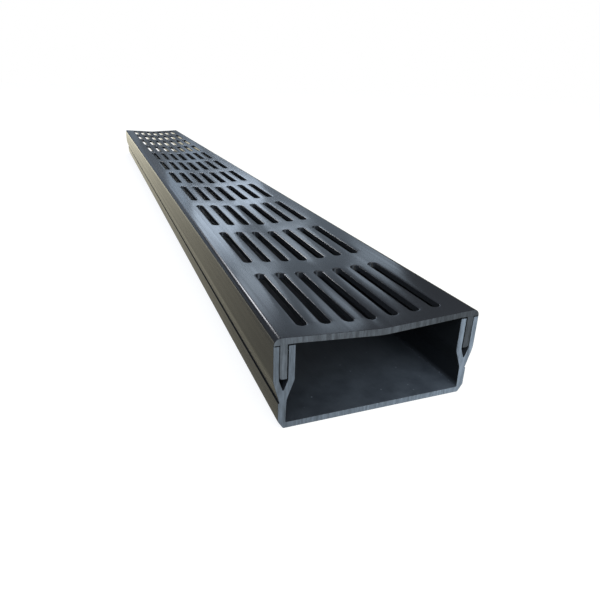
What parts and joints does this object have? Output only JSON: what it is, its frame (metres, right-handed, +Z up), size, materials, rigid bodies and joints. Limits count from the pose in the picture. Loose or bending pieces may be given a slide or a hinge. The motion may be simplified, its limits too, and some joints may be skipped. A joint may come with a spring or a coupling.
{
  "type": "threshold drain",
  "caption": "Threshold drain: a straight plastic trough with forked wall tops, and a dished, slotted grate whose legs stand in the forks and lift out. Both ends are open.",
  "frame": {"origin": "on the underside of the trough's floor, at the middle of the length and of the width", "axes": "+X across the drain, +Y along it, away from the end that the picture shows, +Z up"},
  "size_m": [0.107, 1, 0.0468],
  "materials": {
    "channel_plastic": "black extruded hard PVC with fine lengthwise draw lines, satin",
    "grate_plastic": "black extruded hard PVC, smooth, with a soft blue-grey sheen and sawn ends"
  },
  "bodies": {
    "channel": {"channel": "channel_plastic"},
    "grate": {"grate": "grate_plastic"}
  },
  "joints": [
    {"name": "grate_lift", "type": "slide", "parent": "channel", "child": "grate", "axis": [0, 0, 1], "range_m": [0, 0.03]}
  ]
}
